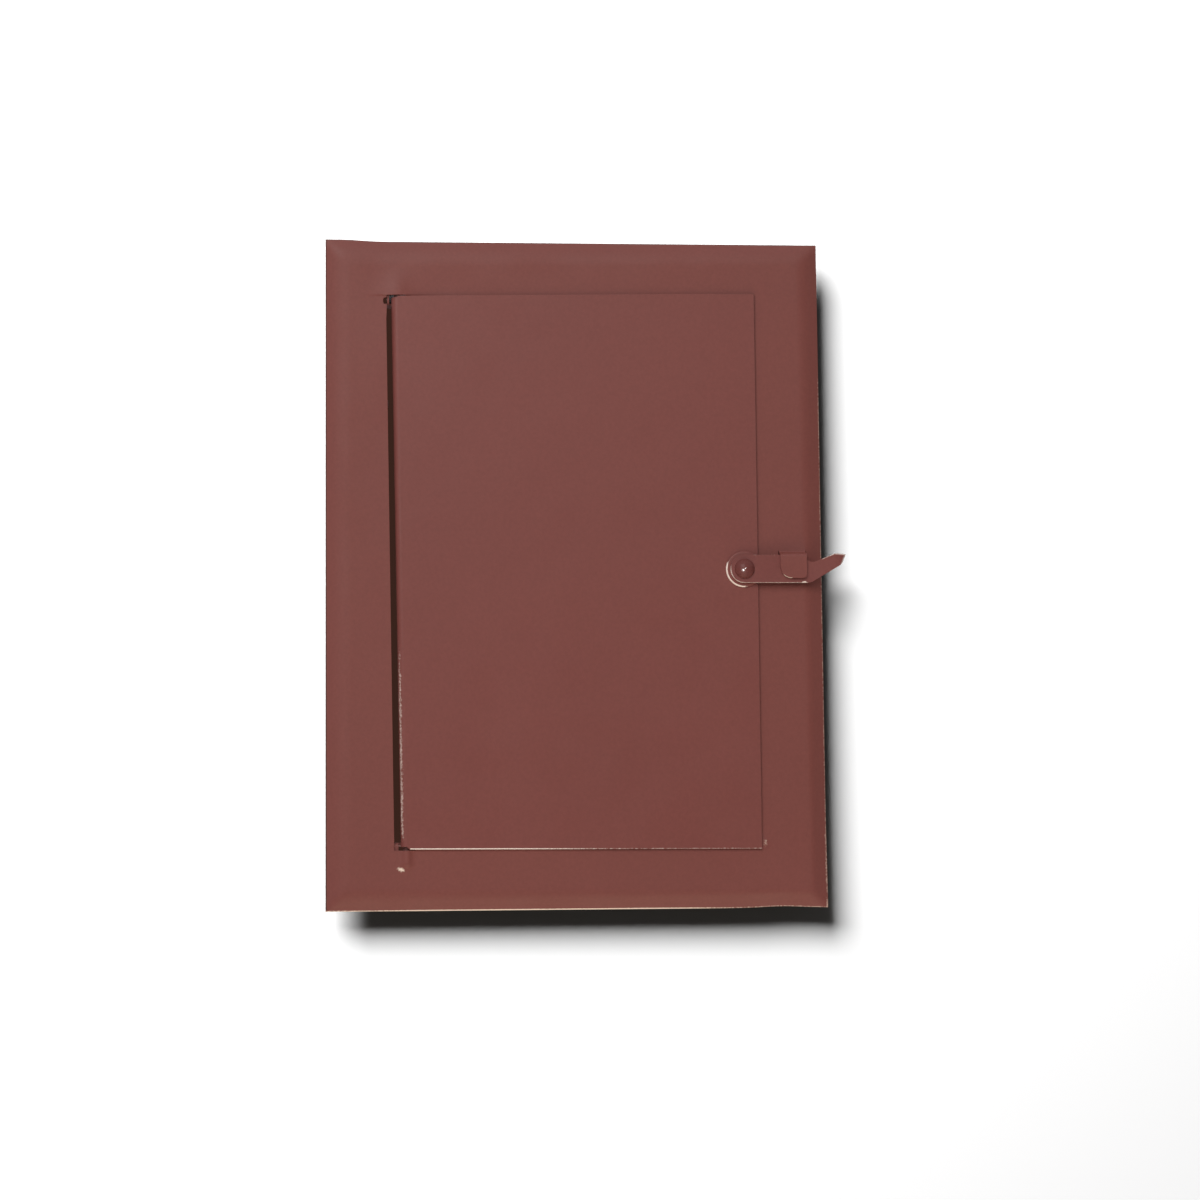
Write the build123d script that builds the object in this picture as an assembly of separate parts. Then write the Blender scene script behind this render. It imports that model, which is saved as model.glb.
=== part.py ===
from build123d import *
import os
from math import atan2, cos, radians, sin, sqrt, tan

# A chimney inspection door of painted sheet steel, in millimetres.
# X runs to the right as seen from the room, +Y into the wall and Z up. The origin is the middle of the
# wall collar in the plane of the wall.

# Sheet and wire stock
sheet = 0.8
pin_radius = 1.5
rivet_radius = 2.0

# Wall collar behind the plate
collar_width = 150.4
collar_height = 217.6
collar_depth = 50.0
collar_corner = 1.6
flange_width = 9.0
flange_relief = 1.8
fold_radius = 1.2
seam_lap = 14.0

# Frame plate: how far it reaches past the collar's walls, and its bent margins
plate_left_margin = 23.0
plate_right_margin = 26.6
plate_end_margin = 26.2
rim_depth = 4.0
rim_band = 6.0
rim_bend = 7.0

# Door leaf: how far it reaches past the collar's walls, its slight skew and its lap over the opening
leaf_right_reach = 0.2
leaf_top_reach = 4.2
leaf_bottom_reach = 2.0
leaf_top_rise = 1.5
leaf_bottom_fall = 0.7
leaf_corner_cut = 1.6
leaf_corner_round = 1.0
leaf_gap = 0.25
leaf_side_overlap = 2.0
leaf_end_overlap = 3.0

# Hinge: the pin stands inside the collar and leans a little, as the whole leaf does
hinge_inset = 7.45
hinge_lean = 0.85
pin_running = 0.08
pin_seat = 0.05
roll_wrap = 285.0
roll_top_relief = 4.0
roll_bottom_relief = 3.2
slot_gap = 1.8
slot_right = 3.4
slot_end_gap = 0.4
ear_reach = 1.5
ear_height = 4.2
ear_round = 1.2

# Pockets that hold the ends of the pin
top_pocket = 12.0
bottom_pocket = 8.6
plate_blend = 4.0
flange_blend = 1.2
pocket_margin = 0.35
pin_end_room = 4.6

# Latch
latch_inset = 5.8
latch_z = 0.5
lever_half_width = 5.6
lever_thickness = 1.2
kink_past_keeper = 1.6
shoulder_in_keeper = 2.5
tail_angle = 27.0
tail_root_width = 6.9
tail_width = 5.9
tail_taper = 0.8
tail_bend_at = 4.0
tail_bend = 10.0
tip_bend_at = 13.6
tip_bend = 38.0
tip_length = 5.2
tip_point_height = 3.6
bend_radius = 2.0
latch_play = 0.05
latch_running = 0.08
spacer_radius = 7.3
spacer_thickness = 0.8
head_radius = 4.0
head_height = 2.6
head_rim = 0.3
tail_head_radius = 3.0
tail_head_height = 1.3
washer_bore_gap = 0.1
rivet_hole_gap = 0.05

# Keeper tongue, lanced out of the plate's right flange
keeper_past_leaf = 8.7
keeper_width = 10.7
keeper_over_lever = 1.9
keeper_cover = 9.4
keeper_run = 1.3
keeper_round = 4.4
keeper_right_round = 1.5
keeper_bend = 0.7
keeper_root_overlap = 2.0
keeper_clearance = 0.3
lance_kerf = 0.25
lance_below_latch = 5.5

# Wall anchors
anchor_width = 16.0
anchor_thickness = 1.5
anchor_start = 6.0
anchor_leg = 21.0
anchor_flare = 20.0
anchor_flare_angle = 35.0
anchor_prong = 12.0
anchor_prong_spread = 20.0
anchor_split = 1.5
anchor_bend = 4.0
anchor_from_end = 38.8
anchor_rivet_at = 13.0
anchor_head_radius = 3.6
anchor_head_height = 1.7

# Places in the front view
plate_width = collar_width + plate_left_margin + plate_right_margin
plate_height = collar_height + 2 * plate_end_margin
plate_shift = (plate_right_margin - plate_left_margin) / 2
leaf_right = collar_width / 2 + leaf_right_reach
leaf_top = collar_height / 2 + leaf_top_reach
leaf_bottom = -(collar_height / 2 + leaf_bottom_reach)
hinge_x = hinge_inset - collar_width / 2
latch_x = leaf_right - latch_inset
keeper_left = leaf_right + keeper_past_leaf
keeper_right = keeper_left + keeper_width
keeper_root = latch_z + lever_half_width + keeper_over_lever
keeper_tip = latch_z + lever_half_width - keeper_cover
lance_bottom = latch_z - lance_below_latch
lever_kink_x = keeper_right + kink_past_keeper
shoulder_x = keeper_right - shoulder_in_keeper
anchor_rise = collar_height / 2 - anchor_from_end

# Depths, from the wall towards the room
plate_front = -rim_depth
plate_back = plate_front + sheet
leaf_back = plate_front - leaf_gap
leaf_front = leaf_back - sheet
roll_inner = pin_radius + pin_running
roll_outer = roll_inner + sheet
pin_y = leaf_front + roll_outer
spacer_front = leaf_front - spacer_thickness
lever_back = spacer_front - latch_play
lever_front = lever_back - lever_thickness
head_seat = lever_front - latch_play
keeper_back = lever_front - keeper_clearance
flange_back = plate_back + sheet
collar_rear = plate_back + collar_depth

# The hinge's own frame: its Z runs up the pin
hinge_frame = Pos(hinge_x, pin_y, 0) * Rot(0, -hinge_lean, 0)


def in_hinge_frame(x, z):
    """Where a point of the front view lies in the hinge's own frame."""
    along = radians(hinge_lean)
    dx = x - hinge_x
    return (dx * cos(along) + z * sin(along), z * cos(along) - dx * sin(along))


def front_prism(face, front, back):
    """A flat outline drawn in X and Z, made solid from one depth to another."""
    return extrude(Plane.XZ.offset(-back) * face, amount=back - front)


def rim_block(inset, face_depth, foot_depth, bend):
    """A block with four sloping sides, each a stated inset inside the plate's own outline."""
    sections = []
    for depth in (foot_depth, -face_depth):
        edge = 2 * (inset - rim_band * depth / rim_depth)
        section = Pos(plate_shift, 0) * Rectangle(plate_width - edge, plate_height - edge)
        sections.append(Plane.XZ.offset(-depth) * section)
    block = loft(sections)
    return fillet(block.edges().group_by(Axis.Y)[0], bend)


def pressed_plate():
    """The plate's blank: flat in front, its four margins bent back to the wall, hollow behind."""
    slope = atan2(rim_depth, rim_band)
    outside = rim_block(0, rim_depth, 0, rim_bend)
    inside = rim_block(sheet / sin(slope), rim_depth - sheet, sheet, rim_bend - sheet)
    return outside - inside


def leaf_opening():
    """The hole in the plate: a rectangle that the leaf overlaps, and the tall slot for the roll."""
    top = leaf_top - leaf_end_overlap
    bottom = leaf_bottom + leaf_end_overlap
    right = leaf_right - leaf_side_overlap
    main = Pos((hinge_x + right) / 2, (top + bottom) / 2) * Rectangle(right - hinge_x, top - bottom)
    hole = front_prism(main, plate_front - 1, 1)
    slot_left = -(roll_outer + slot_gap)
    slot_top = leaf_top + slot_end_gap
    slot_bottom = leaf_bottom - slot_end_gap
    slot = Box(slot_right - slot_left, rim_depth + 2, slot_top - slot_bottom)
    slot = Pos((slot_right + slot_left) / 2, 0, (slot_top + slot_bottom) / 2) * slot
    ear = Box(2 * ear_reach, rim_depth + 2, ear_height)
    ear = fillet(ear.edges().filter_by(Axis.Y).group_by(Axis.X)[0], ear_round)
    ear = Pos(slot_left, 0, slot_top - ear_height / 2) * ear
    return hole + hinge_frame * (slot + ear)


def ridge_outline(side, face_height, blend):
    """Half of the section of a sheet pressed round the pin, from the crest to the flat.

    side is -1 for a ridge towards the room and 1 for one towards the wall, and face_height is how far
    the sheet's outer face lies from the pin's axis on that side.
    """
    crest = pin_radius + pin_seat + sheet
    reach = sqrt((crest + blend) ** 2 - (face_height + blend) ** 2)
    tilt = atan2(face_height + blend, reach)
    middle = (tilt - 1.5 * radians(180)) / 2

    def on_crest(radius, angle):
        return (radius * cos(angle), side * radius * sin(angle))

    def on_blend(radius, angle):
        return (reach + radius * cos(angle), side * (face_height + blend + radius * sin(angle)))

    crest_middle = (tilt + radians(90)) / 2
    inner_crest = crest - sheet
    inner_blend = blend + sheet
    edge = reach + pocket_margin
    inner_height = face_height - sheet
    outline = [
        ThreePointArc((0, side * crest), on_crest(crest, crest_middle), on_crest(crest, tilt)),
        ThreePointArc(on_crest(crest, tilt), on_blend(blend, middle), (reach, side * face_height)),
        Line((reach, side * face_height), (edge, side * face_height)),
        Line((edge, side * face_height), (edge, side * inner_height)),
        Line((edge, side * inner_height), (reach, side * inner_height)),
        ThreePointArc((reach, side * inner_height), on_blend(inner_blend, middle), on_crest(inner_crest, tilt)),
        ThreePointArc(on_crest(inner_crest, tilt), on_crest(inner_crest, crest_middle), (0, side * inner_crest)),
        Line((0, side * inner_crest), (0, side * crest)),
    ]
    return make_face(outline), edge


def pin_ridge(side, face_height, blend, start, length, domed):
    """A ridge over the pin that starts at a height in the hinge's frame and runs up from there.

    A negative length runs down. Returns the ridge and the piece of flat sheet that it takes the place of,
    which runs on past the sheet's edge where the ridge isn't closed by a dome.
    """
    half, edge = ridge_outline(side, face_height, blend)
    run = abs(length) - (edge if domed else 0)
    ridge = extrude(half, amount=run, dir=(0, 0, 1))
    ridge = ridge + mirror(ridge, about=Plane.YZ)
    past = 0 if domed else edge
    gap = Pos(0, 0, (run + past) / 2) * Box(2 * edge, 4 * roll_outer, run + past)
    if domed:
        ridge = ridge + revolve(Pos(0, 0, run) * half, axis=Axis((0, 0, run), (0, -1, 0)), revolution_arc=180)
        gap = gap + Pos(0, 0, run) * Rot(90, 0, 0) * Cylinder(edge, 4 * roll_outer)
    if length < 0:
        ridge = mirror(ridge, about=Plane.XY)
        gap = mirror(gap, about=Plane.XY)
    place = hinge_frame * Pos(0, 0, start)
    return place * ridge, place * gap


def keeper_tongue():
    """The tongue over the latch: out of the plate at its root, then down in front of the lever."""
    plate_middle = plate_front + sheet / 2
    tongue_middle = keeper_back - sheet / 2
    path = FilletPolyline(
        (plate_middle, keeper_root + keeper_root_overlap),
        (plate_middle, keeper_root),
        (tongue_middle, keeper_root - keeper_run),
        (tongue_middle, keeper_tip),
        radius=keeper_bend,
    )
    band = extrude(Plane.YZ.offset(keeper_left) * trace(path, line_width=sheet), amount=keeper_width)
    height = keeper_root + keeper_root_overlap - keeper_tip
    outline = Pos(keeper_left + keeper_width / 2, keeper_tip + height / 2) * Rectangle(keeper_width, height)
    lower = outline.vertices().group_by(Axis.Y)[0].sort_by(Axis.X)
    outline = fillet(lower[0], keeper_round)
    lower = outline.vertices().group_by(Axis.Y)[0].sort_by(Axis.X)
    outline = fillet(lower[-1], keeper_right_round)
    return band & front_prism(outline, keeper_back - 3 * sheet, 0)


def keeper_window():
    """The hole that the tongue left in the plate."""
    width = keeper_width + 2 * lance_kerf
    height = keeper_root - lance_bottom
    outline = Pos(keeper_left + keeper_width / 2, lance_bottom + height / 2) * Rectangle(width, height)
    lower = outline.vertices().group_by(Axis.Y)[0].sort_by(Axis.X)
    outline = fillet(lower[0], keeper_round)
    return front_prism(outline, plate_front - 1, 1)


def frame_plate():
    """The whole plate, one sheet: margins, opening, pin pockets and keeper."""
    face_height = pin_y - plate_front
    top_start = leaf_top + slot_end_gap
    bottom_start = leaf_bottom - slot_end_gap
    top_ridge, top_gap = pin_ridge(-1, face_height, plate_blend, top_start, top_pocket, True)
    low_ridge, low_gap = pin_ridge(-1, face_height, plate_blend, bottom_start, -bottom_pocket, True)
    plate = pressed_plate() - leaf_opening() - top_gap - low_gap - keeper_window()
    return plate + top_ridge + low_ridge + keeper_tongue()


def collar_flange(width, height):
    """One wall's front fold: the flange, the bend and a strip of the wall, for the +X side."""
    wall_middle = width / 2 - sheet / 2
    flange_middle = plate_back + sheet / 2
    path = FilletPolyline(
        (width / 2 + flange_width, flange_middle),
        (wall_middle, flange_middle),
        (wall_middle, flange_middle + 3 * fold_radius),
        radius=fold_radius,
    )
    length = height - 2 * flange_relief
    return extrude(Pos(0, 0, -length / 2) * trace(path, line_width=sheet), amount=length, dir=(0, 0, 1))


def wall_collar():
    """The sleeve in the wall, folded from one strip, with four flanges behind the plate."""
    outer = RectangleRounded(collar_width, collar_height, collar_corner)
    inner_width = collar_width - 2 * sheet
    inner_height = collar_height - 2 * sheet
    inner = RectangleRounded(inner_width, inner_height, collar_corner - sheet)
    sleeve = front_prism(outer - inner, flange_back + fold_radius, collar_rear)
    side = collar_flange(collar_width, collar_height)
    end = Rot(0, -90, 0) * collar_flange(collar_height, collar_width)
    collar = sleeve + side + mirror(side, about=Plane.YZ) + end + mirror(end, about=Plane.XY)
    lap_depth = collar_rear - flange_back - 3 * fold_radius
    lap = Box(seam_lap, lap_depth, sheet)
    collar = collar + Pos(0, collar_rear - lap_depth / 2, -(collar_height + sheet) / 2) * lap
    face_height = flange_back - pin_y
    fold_end = collar_height / 2 + 2 * fold_radius + sheet
    flange_edge = collar_height / 2 + flange_width
    top_start = max(fold_end, leaf_top + slot_end_gap)
    low_start = max(fold_end, slot_end_gap - leaf_bottom)
    top_ridge, top_gap = pin_ridge(1, face_height, flange_blend, top_start, flange_edge - top_start, False)
    low_ridge, low_gap = pin_ridge(1, face_height, flange_blend, -low_start, low_start - flange_edge, False)
    notch_start = collar_height / 2 - 2 * fold_radius - sheet
    notch_width = 2 * roll_outer + slot_gap
    top_notch = Box(notch_width, 2 * roll_outer, top_start - notch_start)
    low_notch = Box(notch_width, 2 * roll_outer, low_start - notch_start)
    top_notch = Pos(0, 0, (top_start + notch_start) / 2) * top_notch
    low_notch = Pos(0, 0, -(low_start + notch_start) / 2) * low_notch
    pin_notch = hinge_frame * (top_notch + low_notch)
    collar = collar - top_gap - low_gap - pin_notch + top_ridge + low_ridge
    for x_side in (-1, 1):
        for z_side in (-1, 1):
            hole = Rot(0, 90, 0) * Cylinder(rivet_radius + rivet_hole_gap, 4 * sheet)
            place = Pos(x_side * (collar_width - sheet) / 2, anchor_rivet_at, z_side * anchor_rise)
            collar = collar - place * hole
    return collar


def door_leaf():
    """The leaf, one sheet: flat over the opening, its left edge rolled round the pin."""
    top_left = (0, leaf_top)
    low_start = (0, leaf_bottom + leaf_corner_cut)
    low_left = (leaf_corner_cut, leaf_bottom)
    low_right = in_hinge_frame(leaf_right, leaf_bottom - leaf_bottom_fall)
    top_right = in_hinge_frame(leaf_right, leaf_top + leaf_top_rise)
    outline = make_face(Polyline(top_left, low_start, low_left, low_right, top_right, close=True))
    outline = fillet(outline.vertices().sort_by(Axis.X)[-2:], leaf_corner_round)
    leaf = front_prism(outline, -roll_outer, -roll_inner)
    ring = Circle(roll_outer) - Circle(roll_inner)
    span = 3 * roll_outer
    open_angle = radians(roll_wrap - 270)
    mouth = make_face(
        Polyline((0, 0), (0, -span), (span, -span), (span, -span * tan(open_angle)), close=True)
    )
    roll_bottom = leaf_bottom + roll_bottom_relief
    roll_length = leaf_top - roll_top_relief - roll_bottom
    leaf = leaf + extrude(Pos(0, 0, roll_bottom) * (ring - mouth), amount=roll_length, dir=(0, 0, 1))
    leaf = hinge_frame * leaf
    hole = Rot(90, 0, 0) * Cylinder(rivet_radius + rivet_hole_gap, 8 * sheet)
    return leaf - Pos(latch_x, leaf_front, latch_z) * hole


def hinge_pin():
    """The wire that the leaf turns on, from one pocket to the other."""
    top = leaf_top + slot_end_gap + top_pocket - pin_end_room
    bottom = leaf_bottom - slot_end_gap - bottom_pocket + pin_end_room
    pin = Cylinder(pin_radius, top - bottom)
    pin = chamfer(pin.edges().filter_by(GeomType.CIRCLE), pin_radius / 5)
    return hinge_frame * Pos(0, 0, (top + bottom) / 2) * pin


def latch_place(profile):
    """A half section drawn as radius and depth, turned about the latch rivet's axis."""
    return Pos(latch_x, 0, latch_z) * revolve(profile, axis=Axis.Y)


def dome(radius, seat, height, rim, side):
    """The half section of a rivet's head on a seat; side is -1 towards the room."""
    crown = height - rim
    ball = (radius ** 2 + crown ** 2) / (2 * crown)
    half_angle = atan2(radius, ball - crown) / 2
    middle = (ball * sin(half_angle), seat + side * (rim + crown - ball * (1 - cos(half_angle))))
    top = seat + side * height
    edge = seat + side * rim
    return make_face([
        Line((0, seat), (radius, seat)),
        Line((radius, seat), (radius, edge)),
        ThreePointArc((radius, edge), middle, (0, top)),
        Line((0, top), (0, seat)),
    ])


def latch_rivet():
    """Dome head in front, shank through lever, spacer and leaf, peened end behind."""
    shank_length = leaf_back - head_seat
    shank = Pos(rivet_radius / 2, head_seat + shank_length / 2) * Rectangle(rivet_radius, shank_length)
    head = dome(head_radius, head_seat, head_height, head_rim, -1)
    peened = dome(tail_head_radius, leaf_back, tail_head_height, head_rim / 2, 1)
    return latch_place(shank + head + peened)


def latch_spacer():
    """The flat washer between lever and leaf, its front edge broken."""
    blank = Rot(90, 0, 0) * Cylinder(spacer_radius, spacer_thickness)
    blank = chamfer(blank.edges().group_by(Axis.Y)[0], spacer_thickness / 3)
    ring = blank - Rot(90, 0, 0) * Cylinder(rivet_radius + washer_bore_gap, 2 * spacer_thickness)
    return Pos(latch_x, (spacer_front + leaf_front) / 2, latch_z) * ring


def lever_outline():
    """The lever as seen from the front: round end, strip, shoulder and the narrower rising tail."""
    top = latch_z + lever_half_width
    bottom = latch_z - lever_half_width
    rise = radians(tail_angle)

    def on_tail(along, up):
        return (
            lever_kink_x + along * cos(rise) - up * sin(rise),
            bottom + along * sin(rise) + up * cos(rise),
        )

    point_at = tip_bend_at + tip_length * cos(radians(tip_bend + tail_bend))
    outline = make_face([
        ThreePointArc((latch_x, top), (latch_x - lever_half_width, latch_z), (latch_x, bottom)),
        Polyline(
            (latch_x, bottom),
            (lever_kink_x, bottom),
            on_tail(tip_bend_at, tail_taper),
            on_tail(point_at, tip_point_height),
            on_tail(tip_bend_at, tail_width),
            on_tail(tail_bend_at, tail_root_width),
            (shoulder_x, top),
            (latch_x, top),
        ),
    ])
    shoulder = outline.vertices().sort_by_distance(on_tail(tail_bend_at, tail_root_width))[0]
    outline = fillet(shoulder, tail_width / 2)
    kink = outline.vertices().sort_by_distance((lever_kink_x, bottom))[0]
    return fillet(kink, lever_half_width)


def latch_lever():
    """The lever: a flat strip whose tail is bent out twice for the finger."""
    middle = (lever_back + lever_front) / 2
    first = tan(radians(tail_bend)) * (tip_bend_at - tail_bend_at)
    tip_reach = 2 * tip_length
    second = tan(radians(tail_bend + tip_bend)) * tip_reach
    reach = 2 * (lever_kink_x - latch_x)
    path = FilletPolyline(
        (-reach, middle),
        (tail_bend_at, middle),
        (tip_bend_at, middle - first),
        (tip_bend_at + tip_reach, middle - first - second),
        radius=bend_radius,
    )
    blank = extrude(Pos(0, 0, -reach / 2) * trace(path, line_width=lever_thickness), amount=reach, dir=(0, 0, 1))
    blank = Pos(lever_kink_x, 0, latch_z - lever_half_width) * Rot(0, -tail_angle, 0) * blank
    lever = blank & front_prism(lever_outline(), lever_front - 4 * tip_length, 0)
    bore = Rot(90, 0, 0) * Cylinder(rivet_radius + latch_running, 4 * lever_thickness)
    return lever - Pos(latch_x, middle, latch_z) * bore


def anchor_strip(path, low, high):
    """A bent strip with its section along the path, from one height to another."""
    section = trace(path, line_width=anchor_thickness)
    return extrude(Pos(0, 0, low) * section, amount=high - low, dir=(0, 0, 1))


def wall_anchor():
    """An anchor for the +X side, its middle at z = 0: a strip with a split, spread end."""
    x = collar_width / 2 + anchor_thickness / 2
    flare = radians(anchor_flare_angle)
    bend = (x, anchor_start + anchor_leg)
    split = (x + anchor_flare * sin(flare), bend[1] + anchor_flare * cos(flare))
    body = FilletPolyline((x, anchor_start), bend, split, radius=anchor_bend)
    half = anchor_width / 2
    anchor = anchor_strip(body, -half, half)
    for low, spread in ((anchor_split / 2, anchor_prong_spread), (-half, -anchor_prong_spread)):
        prong = radians(anchor_flare_angle + spread)
        root = (split[0] - anchor_bend * sin(flare), split[1] - anchor_bend * cos(flare))
        tip = (split[0] + anchor_prong * sin(prong), split[1] + anchor_prong * cos(prong))
        path = FilletPolyline(root, split, tip, radius=anchor_bend)
        anchor = anchor + anchor_strip(path, low, low + half - anchor_split / 2)
    hole = Rot(0, 90, 0) * Cylinder(rivet_radius + rivet_hole_gap, 4 * anchor_thickness)
    return anchor - Pos(x, anchor_rivet_at, 0) * hole


def anchor_rivet():
    """The rivet of an anchor on the +X side: head inside the collar, peened end on the strip."""
    inside = collar_width / 2 - sheet
    outside = collar_width / 2 + anchor_thickness
    length = outside - inside
    shank = Pos(rivet_radius / 2, inside + length / 2) * Rectangle(rivet_radius, length)
    head = dome(anchor_head_radius, inside, anchor_head_height, head_rim, -1)
    peened = dome(tail_head_radius, outside, tail_head_height, head_rim / 2, 1)
    rivet = revolve(shank + head + peened, axis=Axis.Y)
    return Pos(0, anchor_rivet_at, 0) * Rot(0, 0, -90) * rivet


nodes = {
    "frame_plate": frame_plate(),
    "wall_collar": wall_collar(),
    "door_leaf": door_leaf(),
    "hinge_pin": hinge_pin(),
    "latch_rivet": latch_rivet(),
    "latch_spacer": latch_spacer(),
    "latch_lever": latch_lever(),
}

anchor_number = 0
for z_side in (1, -1):
    for x_side in (-1, 1):
        anchor_number += 1
        strip = Pos(0, 0, z_side * anchor_rise) * wall_anchor()
        rivet = Pos(0, 0, z_side * anchor_rise) * anchor_rivet()
        if x_side < 0:
            strip = mirror(strip, about=Plane.YZ)
            rivet = mirror(rivet, about=Plane.YZ)
        nodes[f"wall_anchor_{anchor_number}"] = strip
        nodes[f"anchor_rivet_{anchor_number}"] = rivet

os.makedirs("parts", exist_ok=True)
for name, shape in nodes.items():
    export_step(shape, f"parts/{name}.step")

print("door hinge passes", (hinge_x, round(pin_y, 4), 0.0))
print("door hinge runs along", (round(-sin(radians(hinge_lean)), 6), 0.0, round(cos(radians(hinge_lean)), 6)))
print("latch pivot passes", (latch_x, round(spacer_front, 4), latch_z))
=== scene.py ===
from math import atan2, cos, exp, pi, radians, sin, sqrt, tan

import bmesh
import bpy
from mathutils import Matrix, Vector, noise


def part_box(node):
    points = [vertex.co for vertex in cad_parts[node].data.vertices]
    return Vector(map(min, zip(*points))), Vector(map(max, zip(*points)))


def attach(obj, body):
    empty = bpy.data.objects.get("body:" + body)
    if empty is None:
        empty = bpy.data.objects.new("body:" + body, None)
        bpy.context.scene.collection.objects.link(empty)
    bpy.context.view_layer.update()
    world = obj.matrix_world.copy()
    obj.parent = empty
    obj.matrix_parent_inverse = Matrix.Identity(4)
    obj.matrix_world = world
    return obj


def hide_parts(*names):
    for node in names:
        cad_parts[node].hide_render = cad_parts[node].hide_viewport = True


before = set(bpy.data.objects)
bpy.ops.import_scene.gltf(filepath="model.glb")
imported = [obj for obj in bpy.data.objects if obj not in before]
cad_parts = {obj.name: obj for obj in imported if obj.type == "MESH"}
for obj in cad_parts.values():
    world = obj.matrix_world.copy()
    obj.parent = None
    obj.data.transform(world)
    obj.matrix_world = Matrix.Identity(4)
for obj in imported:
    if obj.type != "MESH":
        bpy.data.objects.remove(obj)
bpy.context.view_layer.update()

mm = 0.001


# The photograph's viewpoint: from the door's left and a little below its middle, with a long lens and the camera
# turned half a degree.
camera_data = bpy.data.cameras.new("camera")
camera_data.lens = 90
camera_data.sensor_width = 36
camera_data.shift_x = 0.0209
camera_data.shift_y = -0.0235
camera_data.clip_start = 0.01
camera = bpy.data.objects.new("camera", camera_data)
camera_right = Vector((0.9966, -0.0814, -0.0087)).normalized()
camera_back = Vector((-0.0819, -0.991, -0.1056)).normalized()
camera_up = camera_back.cross(camera_right)
camera_place = Matrix((camera_right, camera_up, camera_back)).transposed().to_4x4()
camera_place.translation = (-0.0970, -1.1956, -0.1274)
camera.matrix_world = camera_place
bpy.context.collection.objects.link(camera)
bpy.context.scene.camera = camera
bpy.context.scene.view_settings.view_transform = "Standard"


# A pale wall close behind the plate, open where the collar and a chip beside it go through, and a pale floor well
# below. The flue behind the opening is a sheet that glows dark brown for the camera, as painted shade, and lets the
# light through; it is drawn forward under the collar's top, and shows through the chip too. From behind, the wall
# and the flue let the camera and the light through.
wall_gap = 15 * mm
wall_reach = 1500 * mm
floor_drop = 1300 * mm
wall_hole_width = 151 * mm
wall_hole_top = 109.1 * mm
wall_hole_bottom = -111.2 * mm
wall_chip_left = -76.4 * mm
wall_chip_right = -73.2 * mm
wall_chip_top = 117.5 * mm
wall_grey = 0.05
flue_depth = 47.5 * mm
flue_width = 152 * mm
flue_top = 107.8 * mm
flue_bottom = -112 * mm
flue_ledge_right = -64 * mm
flue_ledge_reach = 43 * mm
# the colour the flue sheet glows with for the camera: painted shade
flue_painted_shade = (0.040, 0.017, 0.012, 1)
chip_depth = 2 * mm
chip_spread = 9 * mm
chip_clearance = 0.2 * mm


def stage_material(name, one_sided, seen_grey=None, grey=None, painted_shade_glow=None):
    """Matt, of one grey for the camera and another for the light, or glowing a colour for the camera, as painted
    shade, and clear for light.
    """
    material = bpy.data.materials.new(name)
    material.use_nodes = True
    nodes = material.node_tree.nodes
    links = material.node_tree.links
    nodes.clear()
    output = nodes.new("ShaderNodeOutputMaterial")
    rays = nodes.new("ShaderNodeLightPath")
    matt = nodes.new("ShaderNodeBsdfTransparent" if painted_shade_glow else "ShaderNodeBsdfDiffuse")
    matt.inputs["Color"].default_value = (1, 1, 1, 1) if painted_shade_glow else (grey, grey, grey, 1)
    seen = nodes.new("ShaderNodeEmission" if painted_shade_glow else "ShaderNodeBsdfDiffuse")
    seen.inputs["Color"].default_value = painted_shade_glow or (seen_grey, seen_grey, seen_grey, 1)
    either = nodes.new("ShaderNodeMixShader")
    links.new(rays.outputs["Is Camera Ray"], either.inputs["Fac"])
    links.new(matt.outputs[0], either.inputs[1])
    links.new(seen.outputs[0], either.inputs[2])
    surface = either
    if one_sided:
        back = nodes.new("ShaderNodeNewGeometry")
        clear = nodes.new("ShaderNodeBsdfTransparent")
        surface = nodes.new("ShaderNodeMixShader")
        links.new(back.outputs["Backfacing"], surface.inputs["Fac"])
        links.new(either.outputs[0], surface.inputs[1])
        links.new(clear.outputs[0], surface.inputs[2])
    links.new(surface.outputs[0], output.inputs["Surface"])
    return material


def new_object(mesh, name, materials=()):
    """A bmesh made an object at the origin, with its materials."""
    data = bpy.data.meshes.new(name)
    mesh.to_mesh(data)
    mesh.free()
    made = bpy.data.objects.new(name, data)
    for material in materials:
        data.materials.append(material)
    bpy.context.collection.objects.link(made)
    return made


wall = bmesh.new()
bmesh.ops.create_grid(wall, x_segments=1, y_segments=1, size=wall_reach)
bmesh.ops.rotate(wall, verts=wall.verts, matrix=Matrix.Rotation(radians(90), 3, "X"))
for place, across in (
    ((-wall_hole_width / 2, 0, 0), (1, 0, 0)),
    ((wall_hole_width / 2, 0, 0), (1, 0, 0)),
    ((0, 0, wall_hole_bottom), (0, 0, 1)),
    ((0, 0, wall_hole_top), (0, 0, 1)),
    ((wall_chip_left, 0, 0), (1, 0, 0)),
    ((wall_chip_right, 0, 0), (1, 0, 0)),
    ((0, 0, wall_chip_top), (0, 0, 1)),
):
    everything = wall.verts[:] + wall.edges[:] + wall.faces[:]
    bmesh.ops.bisect_plane(wall, geom=everything, plane_co=place, plane_no=across)
hole = []
for f in wall.faces:
    middle = f.calc_center_median()
    in_hole = abs(middle.x) < wall_hole_width / 2 and wall_hole_bottom < middle.z < wall_hole_top
    in_chip = wall_chip_left < middle.x < wall_chip_right and wall_hole_top < middle.z < wall_chip_top
    if in_hole or in_chip:
        hole.append(f)
bmesh.ops.delete(wall, geom=hole, context="FACES")
bmesh.ops.translate(wall, verts=wall.verts, vec=(0, wall_gap, 0))
wall = new_object(wall, "stage_wall", [stage_material("stage_wall", True, wall_grey, wall_grey * 0.6)])

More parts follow.
